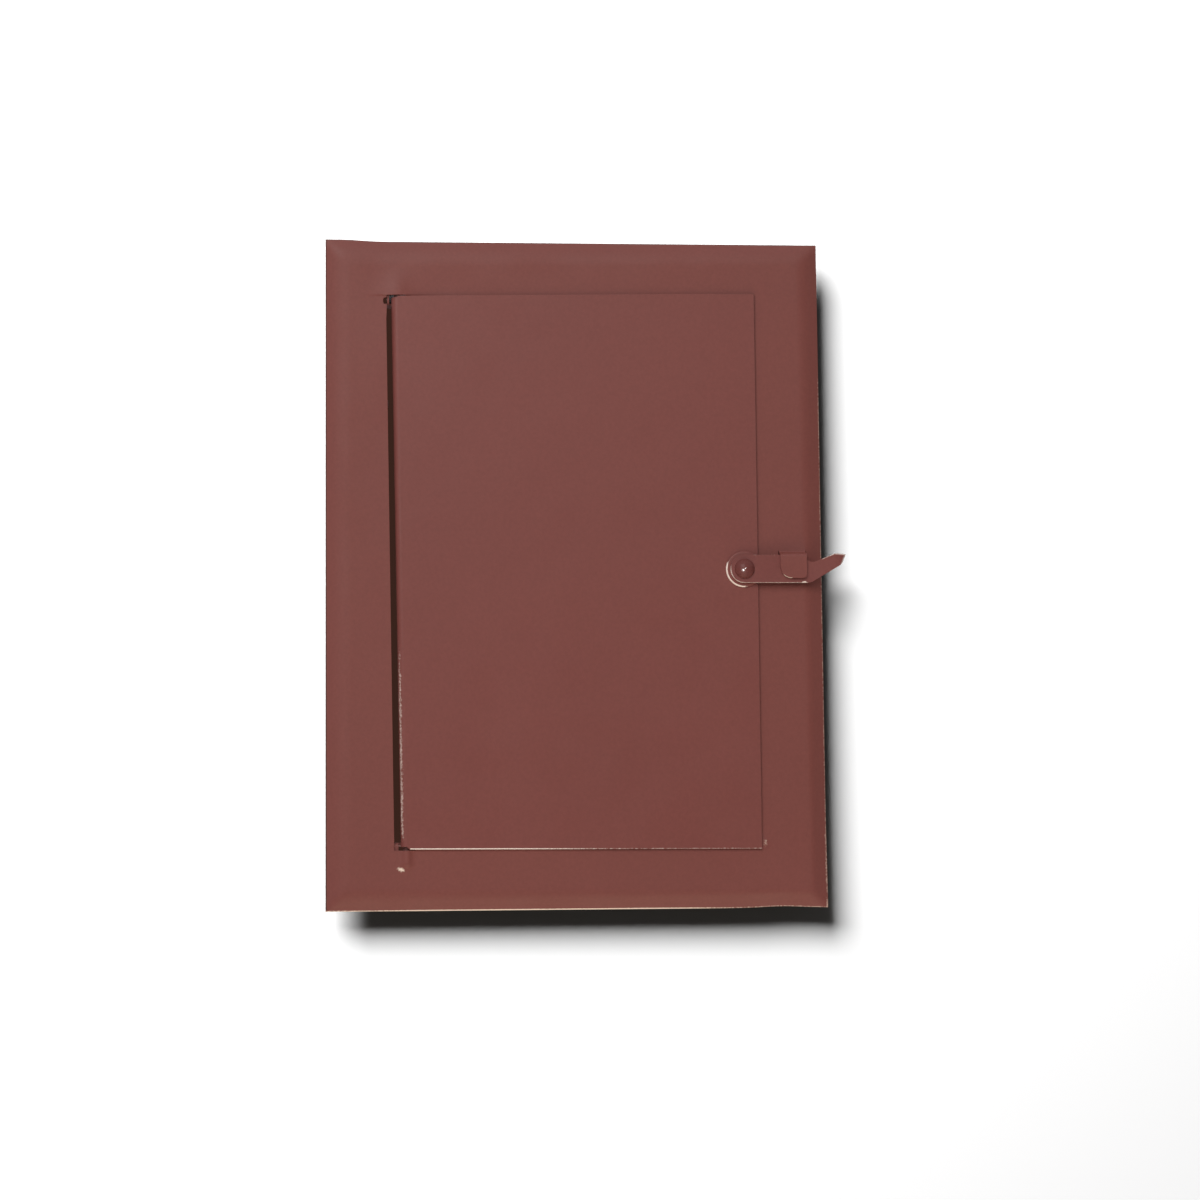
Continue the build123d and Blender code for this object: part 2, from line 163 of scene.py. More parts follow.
flue = bmesh.new()
bmesh.ops.create_grid(flue, x_segments=1, y_segments=1, size=0.5)
bmesh.ops.rotate(flue, verts=flue.verts, matrix=Matrix.Rotation(radians(90), 3, "X"))
bmesh.ops.scale(flue, verts=flue.verts, vec=(flue_width, 1, flue_top - flue_bottom))
bmesh.ops.bisect_plane(flue, geom=flue.verts[:] + flue.edges[:] + flue.faces[:], plane_co=(flue_ledge_right, 0, 0),
                       plane_no=(1, 0, 0))
bmesh.ops.translate(flue, verts=flue.verts, vec=(0, flue_depth, (flue_top + flue_bottom) / 2))
ledge = [e for e in flue.edges if all(v.co.z > 0 and v.co.x < flue_ledge_right + 1e-6 for v in e.verts)]
ledge = [v for v in bmesh.ops.extrude_edge_only(flue, edges=ledge)["geom"] if isinstance(v, bmesh.types.BMVert)]
bmesh.ops.translate(flue, verts=ledge, vec=(0, -flue_ledge_reach, 0))
# a patch of the same glowing painted shade, just behind the wall's chip
chip_left, chip_right = wall_chip_left - chip_spread, wall_chip_right + chip_spread
chip_low, chip_high = wall_hole_top + chip_clearance, wall_chip_top + chip_spread
chip = [(chip_left, chip_low), (chip_right, chip_low), (chip_right, chip_high), (chip_left, chip_high)]
flue.faces.new([flue.verts.new((x, wall_gap + chip_depth, z)) for x, z in chip])
flue.normal_update()
flue = new_object(flue, "stage_flue_painted_shade", [stage_material("stage_flue_painted_shade", True, painted_shade_glow=flue_painted_shade)])

floor = bmesh.new()
bmesh.ops.create_grid(floor, x_segments=1, y_segments=1, size=2 * wall_reach)
bmesh.ops.translate(floor, verts=floor.verts, vec=(0, 0, -floor_drop))
floor = new_object(floor, "stage_floor", [stage_material("stage_floor", False, 1.1, 0.86)])


# Soft studio light: a large lamp up on the left, a warm one from below that lights the edges turned down, and a
# small one beside the camera for the glint on the rivet. The wall has its own lamp, so that the door's shadow on
# it is as dark and soft as in the photograph.
def softbox(name, place, aim, size, power, colour):
    """A square lamp that faces its aim."""
    lamp_data = bpy.data.lights.new(name, "AREA")
    lamp_data.shape = "SQUARE"
    lamp_data.size = size
    lamp_data.energy = power
    lamp_data.color = colour
    lamp = bpy.data.objects.new(name, lamp_data)
    lamp.location = place
    lamp.rotation_euler = (Vector(aim) - Vector(place)).to_track_quat("-Z", "Y").to_euler()
    bpy.context.collection.objects.link(lamp)
    return lamp


softbox("key_lamp", (-0.50, -1.45, 0.92), (0, 0, 0), 1.2, 18.2, (1.0, 0.985, 0.965))
softbox("low_lamp", (0.0, -0.38, -1.05), (0, 0, 0), 1.0, 5.0, (1.0, 0.80, 0.56))
glint_lamp = softbox("glint_lamp", (-0.24, -1.23, -0.30), (0.07, 0, 0), 0.07, 80.0, (1.0, 0.96, 0.92))
glint_lamp.visible_diffuse = False
wall_lamp = softbox("wall_lamp", (-0.76, -1.30, 0.965), (0, 0, 0), 1.06, 1250.0, (1.0, 1.0, 1.0))
lit_by_wall_lamp = bpy.data.collections.new("lit_by_wall_lamp")
lit_by_wall_lamp.objects.link(wall)
wall_lamp.light_linking.receiver_collection = lit_by_wall_lamp
lit_by_glint_lamp = bpy.data.collections.new("lit_by_glint_lamp")
glint_lamp.light_linking.receiver_collection = lit_by_glint_lamp

world = bpy.data.worlds.new("surroundings")
bpy.context.scene.world = world
world.use_nodes = True
world_nodes = world.node_tree.nodes
world_links = world.node_tree.links
world_nodes.clear()
world_output = world_nodes.new("ShaderNodeOutputWorld")
where = world_nodes.new("ShaderNodeTexCoord")
split = world_nodes.new("ShaderNodeSeparateXYZ")
world_links.new(where.outputs["Generated"], split.inputs[0])
sides = world_nodes.new("ShaderNodeValToRGB")
sides.color_ramp.elements[0].position = 0.0
sides.color_ramp.elements[0].color = (0.15, 0.17, 0.21, 1)
sides.color_ramp.elements[1].position = 1.0
sides.color_ramp.elements[1].color = (0.06, 0.05, 0.05, 1)
ahead = sides.color_ramp.elements.new(0.5)
ahead.color = (0.07, 0.07, 0.075, 1)
heights = world_nodes.new("ShaderNodeValToRGB")
heights.color_ramp.elements[0].position = 0.0
heights.color_ramp.elements[0].color = (0.72, 0.58, 0.44, 1)
heights.color_ramp.elements[1].position = 1.0
heights.color_ramp.elements[1].color = (0.52, 0.53, 0.55, 1)
for height, shade in ((0.2, (0.50, 0.41, 0.31, 1)), (0.36, (0.12, 0.11, 0.10, 1)), (0.5, (0.03, 0.03, 0.03, 1)),
                      (0.62, (0.20, 0.20, 0.20, 1)), (0.75, (0.50, 0.50, 0.51, 1))):
    heights.color_ramp.elements.new(height).color = shade
for channel, ramp in (("X", sides), ("Z", heights)):
    spread = world_nodes.new("ShaderNodeMapRange")
    spread.inputs["From Min"].default_value = -1
    world_links.new(split.outputs[channel], spread.inputs["Value"])
    world_links.new(spread.outputs[0], ramp.inputs["Fac"])
both = world_nodes.new("ShaderNodeMix")
both.data_type = "RGBA"
both.blend_type = "ADD"
both.inputs["Factor"].default_value = 1
world_links.new(sides.outputs["Color"], both.inputs["A"])
world_links.new(heights.outputs["Color"], both.inputs["B"])
room = world_nodes.new("ShaderNodeBackground")
world_links.new(both.outputs["Result"], room.inputs["Color"])
room.inputs["Strength"].default_value = 0.9
white = world_nodes.new("ShaderNodeBackground")
white.inputs["Color"].default_value = (1, 1, 1, 1)
rays = world_nodes.new("ShaderNodeLightPath")
seen = world_nodes.new("ShaderNodeMixShader")
world_links.new(rays.outputs["Is Camera Ray"], seen.inputs["Fac"])
world_links.new(room.outputs[0], seen.inputs[1])
world_links.new(white.outputs[0], seen.inputs[2])
world_links.new(seen.outputs[0], world_output.inputs["Surface"])


# The finish of every sheet part: one satin coat of red-brown primer, sprayed thin, with a fine orange peel. Where
# the mesh's attribute is above 0 it turns pale, the colour of unpainted steel on cut edges and a painted highlight
# elsewhere, and where it is below 0 it turns dark, as painted shade.
def red_primer(name, colour, roughness=0.46, gloss=0.34, bare_and_highlight_colour=(0.88, 0.73, 0.64, 1)):
    """The primer in one shade, pale as unpainted steel and painted highlight where the mesh's attribute is above 0,
    and dark as painted shade where it is below.
    """
    material = bpy.data.materials.new(name)
    material.use_nodes = True
    nodes = material.node_tree.nodes
    links = material.node_tree.links
    coat = nodes["Principled BSDF"]
    place = nodes.new("ShaderNodeTexCoord")

    def cloud(scale, detail, rough=0.5):
        made = nodes.new("ShaderNodeTexNoise")
        made.inputs["Scale"].default_value = scale
        made.inputs["Detail"].default_value = detail
        made.inputs["Roughness"].default_value = rough
        links.new(place.outputs["Object"], made.inputs["Vector"])
        return made

    def spread(value, low, high, to_low, to_high):
        made = nodes.new("ShaderNodeMapRange")
        made.inputs["From Min"].default_value = low
        made.inputs["From Max"].default_value = high
        made.inputs["To Min"].default_value = to_low
        made.inputs["To Max"].default_value = to_high
        links.new(value, made.inputs["Value"])
        return made.outputs["Result"]

    def blend_colour(factor, first, second):
        made = nodes.new("ShaderNodeMix")
        made.data_type = "RGBA"
        links.new(factor, made.inputs["Factor"])
        for value, socket in ((first, "A"), (second, "B")):
            if isinstance(value, tuple):
                made.inputs[socket].default_value = value
            else:
                links.new(value, made.inputs[socket])
        return made.outputs["Result"]

    # the dark colour of painted shade along edges, where the attribute is below 0
    painted_shade_colour = (0.035, 0.022, 0.018, 1)
    darker = tuple(0.98 * c for c in colour) + (1,)
    lighter = tuple(1.02 * c for c in colour) + (1,)
    mist = cloud(14, 2)
    tone = blend_colour(spread(mist.outputs["Fac"], 0.3, 0.7, 0, 1), darker, lighter)
    grain = cloud(900, 2)
    grain_fac = spread(grain.outputs["Fac"], 0.25, 0.75, 0.95, 1.05)
    grained = nodes.new("ShaderNodeVectorMath")
    grained.operation = "SCALE"
    links.new(tone, grained.inputs[0])
    links.new(grain_fac, grained.inputs["Scale"])
    wear_and_light_value = nodes.new("ShaderNodeAttribute")
    wear_and_light_value.attribute_name = "wear_and_painted_light"
    scratchy = cloud(1400, 3, 0.65)
    wear_and_highlight = nodes.new("ShaderNodeMath")
    wear_and_highlight.operation = "MULTIPLY_ADD"
    wear_and_highlight.inputs[1].default_value = 1.6
    links.new(wear_and_light_value.outputs["Fac"], wear_and_highlight.inputs[0])
    links.new(spread(scratchy.outputs["Fac"], 0.3, 0.7, -0.6, 0.0), wear_and_highlight.inputs[2])
    # pale where the attribute is above 0: unpainted steel on cut edges, painted highlight elsewhere
    bare_and_highlight = spread(wear_and_highlight.outputs[0], 0.15, 0.75, 0, 1)
    with_bare_and_highlight = blend_colour(bare_and_highlight, grained.outputs["Vector"], bare_and_highlight_colour)
    # dark where the attribute is below 0: painted shade
    painted_shade_mask = spread(wear_and_light_value.outputs["Fac"], 0.0, -1.0, 0, 1)
    with_painted_shade = blend_colour(painted_shade_mask, with_bare_and_highlight, painted_shade_colour)
    links.new(with_painted_shade, coat.inputs["Base Color"])
    soft = cloud(60, 3)
    softness = spread(soft.outputs["Fac"], 0.3, 0.7, roughness - 0.04, roughness + 0.05)
    links.new(softness, coat.inputs["Roughness"])
    coat.inputs["Specular IOR Level"].default_value = gloss

    peel = cloud(700, 2)
    fine_bump = nodes.new("ShaderNodeBump")
    fine_bump.inputs["Strength"].default_value = 0.06
    fine_bump.inputs["Distance"].default_value = 0.0003
    links.new(peel.outputs["Fac"], fine_bump.inputs["Height"])
    slow = cloud(38, 2)
    slow_bump = nodes.new("ShaderNodeBump")
    slow_bump.inputs["Strength"].default_value = 0.10
    slow_bump.inputs["Distance"].default_value = 0.002
    links.new(slow.outputs["Fac"], slow_bump.inputs["Height"])
    links.new(fine_bump.outputs["Normal"], slow_bump.inputs["Normal"])
    links.new(slow_bump.outputs["Normal"], coat.inputs["Normal"])
    return material


frame_paint = red_primer("frame_red_primer", (0.200, 0.057, 0.046), 0.54, bare_and_highlight_colour=(0.87, 0.70, 0.56, 1))
leaf_paint = red_primer("leaf_red_primer", (0.200, 0.057, 0.047))
latch_paint = red_primer("latch_red_primer", (0.196, 0.060, 0.052), 0.36)


# The frame plate: one blank of thin sheet, its margins bent back to the wall, its opening cut, two pockets
# pressed out over the ends of the hinge pin, and the keeper tongue lanced out of its right flange.
sheet = 0.8 * mm
margin_band = 6.0 * mm
margin_reach = 11.8 * mm
margin_lift = 0.7 * mm
tight_margin_bend = 4.0 * mm
wide_margin_bend = 22.0 * mm
plate_front = -4.0 * mm
plate_low, plate_high = (Vector(corner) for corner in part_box("frame_plate"))
plate_middle = (plate_low.x + plate_high.x) / 2

hinge_x = -67.75 * mm
hinge_lean = radians(0.85)
pin_y = -2.67 * mm
pin_radius = 1.5 * mm
roll_outer = 2.38 * mm
slot_left = hinge_x - 4.18 * mm
slot_right = hinge_x + 3.4 * mm
slot_top = 111.7 * mm
slot_bottom = -111.2 * mm
ear_reach = 1.5 * mm
ear_top = slot_top - 0.8 * mm
ear_height = 3.1 * mm
ear_round = 1.2 * mm
opening_right = 73.4 * mm
opening_top = 110.0 * mm
opening_bottom = -107.8 * mm
pocket_crest = 2.35 * mm
top_pocket_rise = 1.02 * mm
top_pocket_spread = 5.2 * mm
pocket_blend = 4.5 * mm
top_pocket = 12.8 * mm
bottom_pocket = 8.6 * mm

keeper_left = 84.1 * mm
keeper_right = 94.8 * mm
keeper_root = 8.0 * mm
keeper_tip = -3.3 * mm
keeper_front = -8.2 * mm
keeper_round = 4.4 * mm
keeper_small_round = 1.5 * mm
keeper_corner_room = 0.9 * mm
keeper_edge_row = 0.4 * mm
lance_kerf = 0.25 * mm
window_bottom = -5.0 * mm
dent_x = 76.9 * mm
dent_z = -109.0 * mm
dent_width = 1.1 * mm
dent_height = 1.9 * mm
dent_depth = 0.28 * mm

lean_left_ease = 20 * mm
lean_right_from = 12 * mm
lean_right_ease = 25 * mm
waviness = 0.06 * mm
top_step = 0.75 * mm
right_step = 0.35 * mm
bottom_hump = 0.6 * mm
bottom_hump_x = 84 * mm
bottom_hump_width = 11 * mm


def spaced(low, high, step):
    """Places from low to high, as near to a step apart as fits."""
    count = max(1, round((high - low) / step))
    return [low + (high - low) * i / count for i in range(count + 1)]


def ruled_sheet(x_places, z_places):
    """A flat sheet in the plane of the door, facing the room, with an edge line at each place."""
    made = bmesh.new()
    bmesh.ops.create_grid(made, x_segments=1, y_segments=1, size=0.5)
    bmesh.ops.rotate(made, verts=made.verts, matrix=Matrix.Rotation(radians(90), 3, "X"))
    bmesh.ops.translate(made, verts=made.verts, vec=(0.5, 0, 0.5))
    size = (x_places[-1] - x_places[0], 1, z_places[-1] - z_places[0])
    bmesh.ops.scale(made, verts=made.verts, vec=size)
    bmesh.ops.translate(made, verts=made.verts, vec=(x_places[0], 0, z_places[0]))
    for places, across in ((x_places, Vector((1, 0, 0))), (z_places, Vector((0, 0, 1)))):
        for place in places[1:-1]:
            everything = made.verts[:] + made.edges[:] + made.faces[:]
            bmesh.ops.bisect_plane(made, geom=everything, dist=1e-7, plane_co=across * place, plane_no=across)
    return made


def one_of_each(places):
    """The places in order, without any that lie closer than a twentieth of a millimetre."""
    kept = []
    for place in sorted(places):
        if not kept or place - kept[-1] > 0.05 * mm:
            kept.append(place)
    return kept


margin_lines = [0, 0.3 * mm, 0.6 * mm, 1.0 * mm, 1.8 * mm]
margin_lines += spaced(2.8 * mm, margin_reach, 0.65 * mm)
x_lines = [plate_low.x + d for d in margin_lines] + [plate_high.x - d for d in margin_lines]
x_lines += spaced(plate_low.x + margin_reach, slot_left - ear_reach, 3 * mm)
x_lines += spaced(slot_left, slot_right, 0.4 * mm)
x_lines += spaced(slot_right, slot_right + 2 * mm, 1 * mm)
x_lines += spaced(slot_right + 2 * mm, opening_right, 7 * mm)
x_lines += spaced(opening_right, keeper_left - lance_kerf, 3 * mm)
x_lines += spaced(keeper_left, keeper_right, 0.7 * mm)
x_lines += spaced(keeper_right + lance_kerf, plate_high.x - margin_reach, 1 * mm)
z_lines = [plate_low.z + d for d in margin_lines] + [plate_high.z - d for d in margin_lines]
z_lines += spaced(slot_top + top_pocket, plate_high.z - margin_reach, 2 * mm)
z_lines += spaced(slot_top, slot_top + top_pocket, 0.5 * mm)
z_lines += spaced(ear_top, slot_top, 0.45 * mm)
z_lines += spaced(ear_top - ear_height, ear_top, 0.35 * mm)
z_lines += spaced(keeper_root, ear_top - ear_height, 6 * mm)
z_lines += [window_bottom, keeper_root, opening_top, opening_bottom]
x_lines += spaced(dent_x - 3 * dent_width, dent_x + 3 * dent_width, dent_width / 2)
z_lines += spaced(dent_z - 3 * dent_height, dent_z + 3 * dent_height, dent_height / 2)
z_lines += spaced(slot_bottom, window_bottom, 6 * mm)
z_lines += spaced(slot_bottom - bottom_pocket, slot_bottom, 0.5 * mm)
z_lines += spaced(plate_low.z + margin_reach, slot_bottom - bottom_pocket, 2 * mm)
plate = ruled_sheet(one_of_each(x_lines), one_of_each(z_lines))


def near(value, place):
    return abs(value - place) < 0.06 * mm


def cut_out(mesh, inside):
    """Takes away the faces whose middle passes the test."""
    gone = [f for f in mesh.faces if inside(f.calc_center_median())]
    bmesh.ops.delete(mesh, geom=gone, context="FACES")


cut_out(plate, lambda p: slot_right < p.x < opening_right and opening_bottom < p.z < opening_top)
cut_out(plate, lambda p: slot_left < p.x < slot_right and slot_bottom < p.z < slot_top)
cut_out(plate, lambda p: slot_left - ear_reach < p.x < slot_left and ear_top - ear_height < p.z < ear_top)
window_left, window_right = keeper_left - lance_kerf, keeper_right + lance_kerf
cut_out(plate, lambda p: window_left < p.x < window_right and window_bottom < p.z < keeper_root)


def corner_drop(along, radius):
    """How far a rounded corner leaves the straight edge, at a distance along it from the corner."""
    return radius - sqrt(max(0, radius ** 2 - (radius - min(along, radius)) ** 2))


for v in plate.verts:
    if near(v.co.x, slot_left - ear_reach) and ear_top - ear_height - 0.1 * mm < v.co.z < ear_top + 0.1 * mm:
        from_end = min(ear_top - v.co.z, v.co.z - ear_top + ear_height)
        v.co.x += corner_drop(max(0, from_end), ear_round)
    if near(v.co.z, window_bottom) and keeper_left - lance_kerf - 0.1 * mm < v.co.x < keeper_left + keeper_round:
        v.co.z += corner_drop(v.co.x - keeper_left + lance_kerf, keeper_round)

# The keeper is drawn out of the plate along the top of its window, bent twice and run down over the lever.
root = [e for e in plate.edges if e.is_boundary and all(near(v.co.z, keeper_root) for v in e.verts)]
root = [e for e in root if all(keeper_left - 0.05 * mm < v.co.x < keeper_right + 0.05 * mm for v in e.verts)]
riser_angle = radians(72.8)
inner_bend = 0.5 * mm
outer_bend = 1.1 * mm
bmesh.ops.translate(plate, verts=plate.verts, vec=(0, plate_front, 0))


def bent_on(mesh, edges, centre, angle, steps):
    """Carries a row of edges round a bend and returns the new row."""
    made = bmesh.ops.spin(mesh, geom=edges, cent=centre, axis=(1, 0, 0), dvec=(0, 0, 0), angle=angle, steps=steps)
    return [e for e in made["geom_last"] if isinstance(e, bmesh.types.BMEdge)]


def run_on(mesh, edges, step):
    """Carries a row of edges straight on and returns the new row."""
    made = bmesh.ops.extrude_edge_only(mesh, edges=edges)["geom"]
    bmesh.ops.translate(mesh, verts=[v for v in made if isinstance(v, bmesh.types.BMVert)], vec=step)
    return [e for e in made if isinstance(e, bmesh.types.BMEdge) and e.is_boundary and
            abs(e.verts[0].co.z - e.verts[1].co.z) < 1e-6]


row = bent_on(plate, root, (0, plate_front - inner_bend, keeper_root), -riser_angle, 4)
row_y = row[0].verts[0].co.y
outer_turn = outer_bend * (1 - cos(riser_angle))
riser_rise = row_y - keeper_front - outer_turn
row = run_on(plate, row, (0, -riser_rise, -riser_rise / tan(riser_angle)))
bend_at = row[0].verts[0].co
bend_centre = (0, keeper_front + outer_bend, bend_at.z - outer_bend * sin(riser_angle))
row = bent_on(plate, row, bend_centre, riser_angle, 8)
row = run_on(plate, row, (0, 0, keeper_tip + keeper_round + keeper_corner_room - row[0].verts[0].co.z))
inner_row = run_on(plate, row, (0, 0, keeper_tip + keeper_edge_row - row[0].verts[0].co.z))
row = run_on(plate, inner_row, (0, 0, -keeper_edge_row))
for v in {v for e in inner_row + row for v in e.verts}:
    v.co.z += corner_drop(v.co.x - keeper_left, keeper_round)
    v.co.z += corner_drop(keeper_right - v.co.x, keeper_small_round)
plate.normal_update()

pocket_foot = sqrt((pocket_crest + pocket_blend) ** 2 - (pin_y - plate_front + pocket_blend) ** 2)


def pocket_rise(reach):
    """How far the bottom pocket stands out of the plate, at a distance from its spine."""
    if reach < pocket_crest * pocket_foot / (pocket_crest + pocket_blend):
        return sqrt(pocket_crest ** 2 - reach ** 2) - (pin_y - plate_front)
    if reach < pocket_foot:
        return pocket_blend - sqrt(pocket_blend ** 2 - (pocket_foot - reach) ** 2)
    return 0


def margin_drop(inset, margin_bend):
    """How far the plate's front lies behind its flat, at a distance in from its outline."""
    slope = atan2(-plate_front - margin_lift, margin_band)
    tangent = margin_bend * tan(slope / 2)
    if inset > margin_band + tangent:
        return 0
    if inset > margin_band - tangent * cos(slope):
        return margin_bend - sqrt(margin_bend ** 2 - (margin_band + tangent - inset) ** 2)
    return (margin_band - inset) * tan(slope)


def smaller(first, second, softness):
    """The smaller of two distances, with a rounded turn where they are nearly the same."""
    near_equal = max(softness - abs(first - second), 0) / softness
    return min(first, second) - near_equal ** 2 * softness / 4


def eased(share):
    """A share of a way from 0 to 1, starting and ending gently."""
    share = min(1, max(0, share))
    return share * share * (3 - 2 * share)


for v in plate.verts:
    x, z = v.co.x, v.co.z
    in_plane = abs(v.co.y - plate_front) < 1e-7
    if in_plane:
        inset = smaller(min(x - plate_low.x, plate_high.x - x), min(z - plate_low.z, plate_high.z - z), 3 * mm)
        # the bend is wide at the top and left, and tighter at the bottom and right
        wide = 0.5 + 0.25 * (z / plate_high.z - (x - plate_middle) / (plate_high.x - plate_middle))
        bend = tight_margin_bend + (wide_margin_bend - tight_margin_bend) * wide
        v.co.y += min(margin_drop(inset, bend), -plate_front - margin_lift)
        if z > slot_top - 0.1 * mm:
            # the top pocket is shallow, and dies away upwards from its lip
            risen = top_pocket_rise * exp(-((x - hinge_x) / top_pocket_spread) ** 2)
            v.co.y -= risen * (1 - eased((z - slot_top) / top_pocket))
        elif z < slot_bottom + 0.1 * mm:
            beyond = max(0, slot_bottom - bottom_pocket + pocket_foot - z)
            v.co.y -= pocket_rise(sqrt((x - hinge_x) ** 2 + beyond ** 2))
        from_dent = ((x - dent_x) / dent_width) ** 2 + ((z - dent_z) / dent_height) ** 2
        v.co.y -= dent_depth * exp(-from_dent)
    # the slot leans with the pin, and the lean dies away to both sides
    lean = tan(hinge_lean) * z
    if x < hinge_x + lean_right_from:
        share = min(1, (x - plate_low.x) / lean_left_ease)
    else:
        share = 1 - (x - hinge_x - lean_right_from) / lean_right_ease
    v.co.x -= lean * max(0, share)
    # the slot's left edge stands a little farther out towards its lower end
    if hinge_x - 9 * mm < x < hinge_x - 3 * mm and slot_bottom - 0.1 * mm < z < ear_top - ear_height:
        farther = (0.55 * mm - 0.0022 * z) * eased((ear_top - ear_height - z) / (6 * mm))
        v.co.x -= farther * (1 - abs(x - slot_left) / (5 * mm))
    # the blank isn't quite flat
    if in_plane:
        v.co.y += waviness * (noise.noise(Vector((x, 0, z)) * 22) - 0.2)
        # its sheared edges aren't quite straight: the top one steps down, the bottom one rises near its right end
        hump = bottom_hump * exp(-((x - bottom_hump_x) / bottom_hump_width) ** 2)
        v.co.z -= top_step * eased((x + 92 * mm) / (20 * mm)) * eased((z - plate_high.z + 20 * mm) / (18 * mm))
        v.co.z += hump * eased((plate_low.z + 10 * mm - z) / (9 * mm))
        v.co.x += right_step * eased((-z - 90 * mm) / (45 * mm)) * eased((x - 92 * mm) / (9 * mm))

# unpainted pale steel along the sheared bottom and right edges, painted bright there as a highlight where those
# edges catch the light, and painted shade darkening the top and left edges
wear_and_painted_light = plate.verts.layers.float.new("wear_and_painted_light")
for v in plate.verts:
    x, z = v.co.x, v.co.z
    right = plate_high.x - x
    left = x - plate_low.x
    low = z - plate_low.z
    hump = bottom_hump * exp(-((x - bottom_hump_x) / bottom_hump_width) ** 2)
    if left < 0.35 * mm:
        v[wear_and_painted_light] = -0.8
    if z > plate_high.z - 0.2 * mm or (z > plate_high.z - 0.95 * mm and x > -76 * mm):
        v[wear_and_painted_light] = -0.95
    if right < 0.5 * mm and abs(v.co.y) < 2.2 * mm:
        v[wear_and_painted_light] = 0.34 * eased((115 * mm - z) / (50 * mm))
    if low < 0.45 * mm + hump:
        v[wear_and_painted_light] = 0.55 + 0.45 * eased((x + 78 * mm) / (20 * mm)) - 0.62 * eased((x - 20 * mm) / (50 * mm))
    across, up = x - hinge_x + 0.6 * mm, z - slot_bottom + bottom_pocket - 1.1 * mm
    from_boss = ((across + 0.5 * up) / (1.5 * mm)) ** 2 + (up / (1.0 * mm)) ** 2
    from_dent = ((x - dent_x) / dent_width) ** 2 + ((z - dent_z) / dent_height) ** 2
    # painted highlights on the boss at the bottom pocket's end and on the dent
    for distance, highlight_amount in ((from_boss, 0.75), (from_dent, 0.42)):
        if distance < 4:
            v[wear_and_painted_light] = highlight_amount * exp(-distance)
    # a painted highlight on the keeper's lower left corner
    if v.is_boundary and v.co.y < keeper_front + 0.3 * mm and keeper_left + 1.2 * mm < x < keeper_left + 4.6 * mm:
        v[wear_and_painted_light] = 0.7

for f in plate.faces:
    f.smooth = True
plate = new_object(plate, "pressed_frame_plate", [frame_paint])


def thicken(piece, thickness, edge_round, steps=2):
    """Gives a drawn face its sheet, behind it, and takes the edges off."""
    solid = piece.modifiers.new("sheet", "SOLIDIFY")
    solid.thickness = thickness
    solid.offset = -1
    solid.use_even_offset = True
    rounding = piece.modifiers.new("edges", "BEVEL")
    rounding.width = edge_round
    rounding.segments = steps
    rounding.limit_method = "ANGLE"
    rounding.angle_limit = radians(40)
    rounding.harden_normals = True


thicken(plate, sheet, 0.14 * mm)
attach(plate, "frame")
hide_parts("frame_plate")


# The door leaf: one flat sheet that laps the opening, its left edge rolled round the hinge pin. The roll stops
# short of the ends, and the lower left corner is cut off.
leaf_right = 75.4 * mm
leaf_width = 143.55 * mm
leaf_top = 111.3 * mm
leaf_bottom = -110.8 * mm
leaf_top_rise = 1.9 * mm
leaf_bottom_fall = 0.7 * mm
leaf_corner_round = 1.0 * mm
leaf_corner_cut = 1.0 * mm
roll_top = leaf_top - 0.6 * mm
roll_bottom = leaf_bottom + 0.9 * mm
roll_wrap = radians(285)
roll_highlight_at = radians(46)
roll_highlight_spread = radians(26)
hinge_place = Matrix.Translation((hinge_x, pin_y, 0)) @ Matrix.Rotation(-hinge_lean, 4, "Y")

leaf_x = [0, 0.3 * mm, 0.8 * mm, 1.6 * mm, 3 * mm] + spaced(6 * mm, 138 * mm, 6 * mm)
leaf_x += [141 * mm, 142.2 * mm, 142.8 * mm, 143.2 * mm, leaf_width]
leaf_z = spaced(roll_bottom, roll_top, 5.5 * mm)
leaf_z += [leaf_bottom, leaf_bottom + 0.3 * mm, leaf_bottom + 0.55 * mm, leaf_bottom + leaf_corner_cut]
leaf_z += [leaf_top, leaf_top - 0.35 * mm, leaf_top - 1.2 * mm]
leaf = ruled_sheet(one_of_each(leaf_x), one_of_each(leaf_z))
to_hinge = hinge_place.inverted()
right_low = to_hinge @ Vector((leaf_right, pin_y, leaf_bottom - leaf_bottom_fall))
right_high = to_hinge @ Vector((leaf_right, pin_y, leaf_top + leaf_top_rise))
for v in leaf.verts:
    across = v.co.x / leaf_width
    up = (v.co.z - leaf_bottom) / (leaf_top - leaf_bottom)
    low = leaf_bottom + (right_low.z - leaf_bottom) * across
    high = leaf_top + (right_high.z - leaf_top) * across
    right_x = right_low.x + (right_high.x - right_low.x) * up
    v.co = Vector((across * right_x, -roll_outer, low + (high - low) * up))
# the leaf's bottom edge is painted pale as a highlight, less so to the right, and its edges near the right end are
# darkened as painted shade
wear_and_painted_light = leaf.verts.layers.float.new("wear_and_painted_light")
for v in leaf.verts:
    across = v.co.x / leaf_width
    up_from_edge = v.co.z - (leaf_bottom + (right_low.z - leaf_bottom) * across)
    if up_from_edge < 0.4 * mm and v.co.x > 0.5 * mm:
        v[wear_and_painted_light] = 1.0 - 0.66 * eased((across - 0.12) / 0.5)
    elif v.is_boundary and v.co.x > 130 * mm:
        v[wear_and_painted_light] = -0.35
for v in leaf.verts:
    cut = max(0, leaf_bottom + leaf_corner_cut - v.co.z)
    v.co.x += cut * max(0, 1 - v.co.x / (6 * mm))
left_edge = [e for e in leaf.edges if e.is_boundary and all(abs(v.co.x) < 1e-6 for v in e.verts) and
             all(roll_bottom - 0.1 * mm < v.co.z < roll_top + 0.1 * mm for v in e.verts)]
